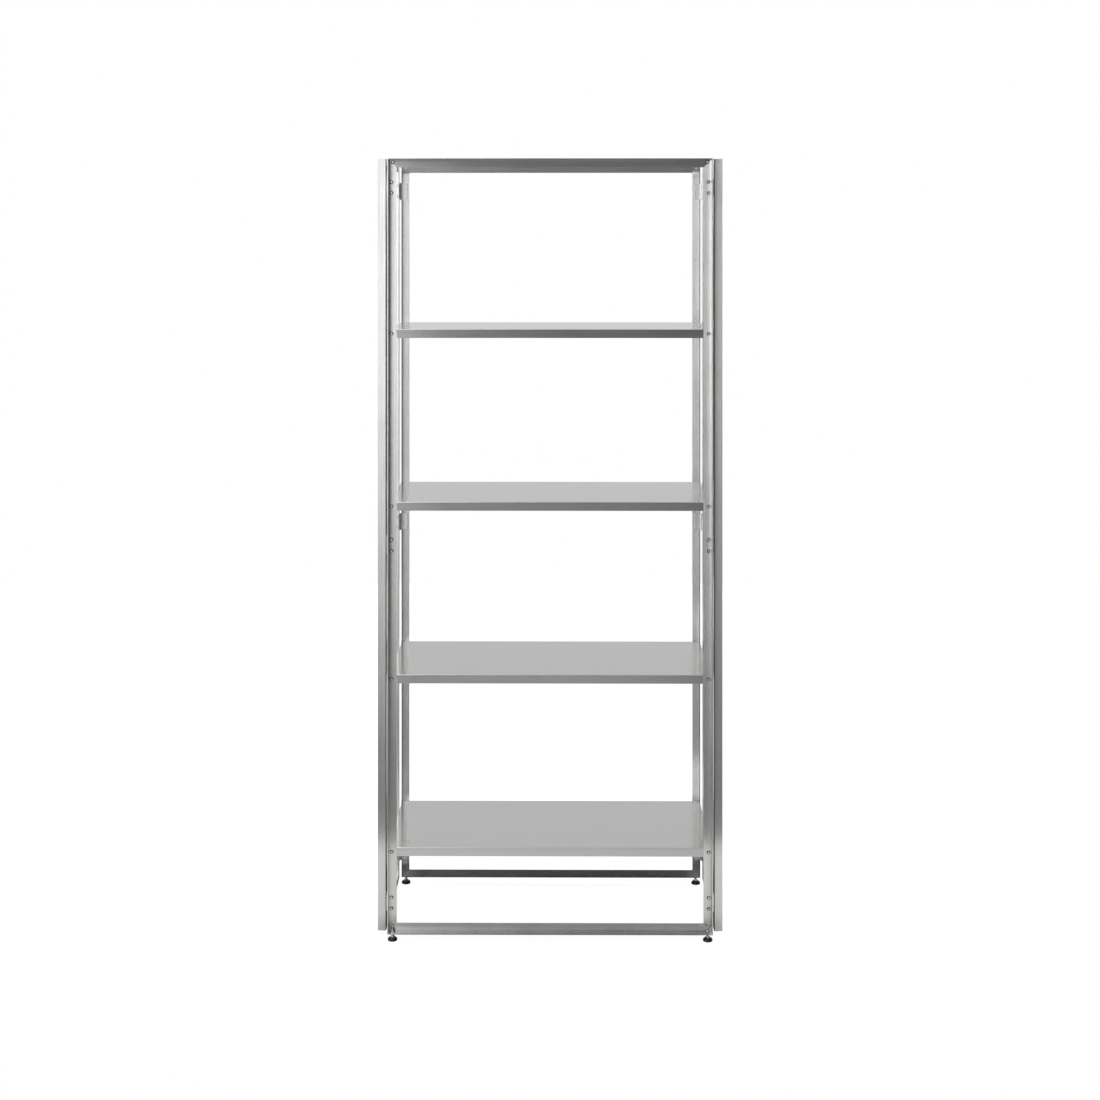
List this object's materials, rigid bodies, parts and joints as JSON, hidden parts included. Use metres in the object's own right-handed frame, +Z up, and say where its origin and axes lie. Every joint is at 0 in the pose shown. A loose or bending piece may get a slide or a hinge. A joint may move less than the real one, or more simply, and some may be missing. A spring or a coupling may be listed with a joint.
{
  "type": "folding floor shelf",
  "caption": "Open stainless shelving unit of angle frames hinged at every corner; the sides break outwards and the sheet shelves tilt up so that it folds.",
  "frame": {"origin": "on the floor under the middle of the shelf", "axes": "+Z up, +X to the right seen from the front, front faces -Y"},
  "size_m": [0.796, 0.38, 1.8],
  "materials": {
    "frame_steel": "brushed along the angle",
    "shelf_sheet": "fine brushed along the width",
    "hinge_steel": "satin",
    "screw_steel": "polished",
    "zinc_hardware": "bright zinc",
    "foot_pad": "moulded matt"
  },
  "bodies": {
    "rear_frame": {"rear_corner_plates": "frame_steel", "rear_foot_nuts": "zinc_hardware", "rear_foot_pads": "foot_pad", "rear_foot_stems": "zinc_hardware", "rear_hinge_leaves": "hinge_steel", "rear_hinge_pins": "screw_steel", "rear_post_left": "frame_steel", "rear_post_right": "frame_steel", "rear_rail_bottom": "frame_steel", "rear_rail_top": "frame_steel", "rear_screws": "screw_steel", "shelf_pivot_brackets": "frame_steel", "shelf_pivot_pins": "screw_steel"},
    "front_frame": {"front_corner_plates": "frame_steel", "front_foot_nuts": "zinc_hardware", "front_foot_pads": "foot_pad", "front_foot_stems": "zinc_hardware", "front_hinge_leaves": "hinge_steel", "front_hinge_pins": "screw_steel", "front_post_left": "frame_steel", "front_post_right": "frame_steel", "front_rail_bottom": "frame_steel", "front_rail_top": "frame_steel", "front_screws": "screw_steel", "shelf_ledges": "frame_steel"},
    "left_front_side": {"left_front_centre_post": "frame_steel", "left_front_corner_post": "frame_steel", "left_front_hinge_leaves": "hinge_steel", "left_front_rail_bottom": "frame_steel", "left_front_rail_top": "frame_steel", "left_front_screws": "screw_steel"},
    "left_rear_side": {"left_centre_pins": "screw_steel", "left_rear_centre_post": "frame_steel", "left_rear_corner_post": "frame_steel", "left_rear_hinge_leaves": "hinge_steel", "left_rear_rail_bottom": "frame_steel", "left_rear_rail_top": "frame_steel", "left_rear_screws": "screw_steel"},
    "right_front_side": {"right_front_centre_post": "frame_steel", "right_front_corner_post": "frame_steel", "right_front_hinge_leaves": "hinge_steel", "right_front_rail_bottom": "frame_steel", "right_front_rail_top": "frame_steel", "right_front_screws": "screw_steel"},
    "right_rear_side": {"right_centre_pins": "screw_steel", "right_rear_centre_post": "frame_steel", "right_rear_corner_post": "frame_steel", "right_rear_hinge_leaves": "hinge_steel", "right_rear_rail_bottom": "frame_steel", "right_rear_rail_top": "frame_steel", "right_rear_screws": "screw_steel"},
    "shelf_1": {"shelf_1": "shelf_sheet"},
    "shelf_2": {"shelf_2": "shelf_sheet"},
    "shelf_3": {"shelf_3": "shelf_sheet"},
    "shelf_4": {"shelf_4": "shelf_sheet"}
  },
  "joints": [
    {"name": "fold", "type": "hinge", "parent": "rear_frame", "child": "left_rear_side", "pos_m": [-0.375, 0.167, 0.9085], "axis": [0, 0, -1], "range_deg": [0, 82]},
    {"name": "left_centre_fold", "type": "hinge", "parent": "left_rear_side", "child": "left_front_side", "pos_m": [-0.375, 0, 0.9085], "axis": [0, 0, 1], "range_deg": [0, 164]},
    {"name": "left_front_fold", "type": "hinge", "parent": "left_front_side", "child": "front_frame", "pos_m": [-0.375, -0.167, 0.9085], "axis": [0, 0, -1], "range_deg": [0, 82]},
    {"name": "right_rear_fold", "type": "hinge", "parent": "rear_frame", "child": "right_rear_side", "pos_m": [0.375, 0.167, 0.9085], "axis": [0, 0, 1], "range_deg": [0, 82]},
    {"name": "right_centre_fold", "type": "hinge", "parent": "right_rear_side", "child": "right_front_side", "pos_m": [0.375, 0, 0.9085], "axis": [0, 0, -1], "range_deg": [0, 164]},
    {"name": "shelf_1_tilt", "type": "hinge", "parent": "rear_frame", "child": "shelf_1", "pos_m": [0, 0.1635, 1.4035], "axis": [-1, 0, 0], "range_deg": [0, 90]},
    {"name": "shelf_2_tilt", "type": "hinge", "parent": "rear_frame", "child": "shelf_2", "pos_m": [0, 0.1635, 1.005], "axis": [-1, 0, 0], "range_deg": [0, 90]},
    {"name": "shelf_3_tilt", "type": "hinge", "parent": "rear_frame", "child": "shelf_3", "pos_m": [0, 0.1635, 0.6065], "axis": [-1, 0, 0], "range_deg": [0, 90]},
    {"name": "shelf_4_tilt", "type": "hinge", "parent": "rear_frame", "child": "shelf_4", "pos_m": [0, 0.1635, 0.208], "axis": [-1, 0, 0], "range_deg": [0, 90]}
  ],
  "couplings": [
    {"joint": "left_centre_fold", "follows": "fold", "ratio": 2},
    {"joint": "left_front_fold", "follows": "fold", "ratio": 1},
    {"joint": "right_rear_fold", "follows": "fold", "ratio": 1},
    {"joint": "right_centre_fold", "follows": "fold", "ratio": 2},
    {"joint": "shelf_1_tilt", "follows": "fold", "ratio": 1.0975},
    {"joint": "shelf_2_tilt", "follows": "fold", "ratio": 1.0975},
    {"joint": "shelf_3_tilt", "follows": "fold", "ratio": 1.0975},
    {"joint": "shelf_4_tilt", "follows": "fold", "ratio": 1.0975}
  ]
}
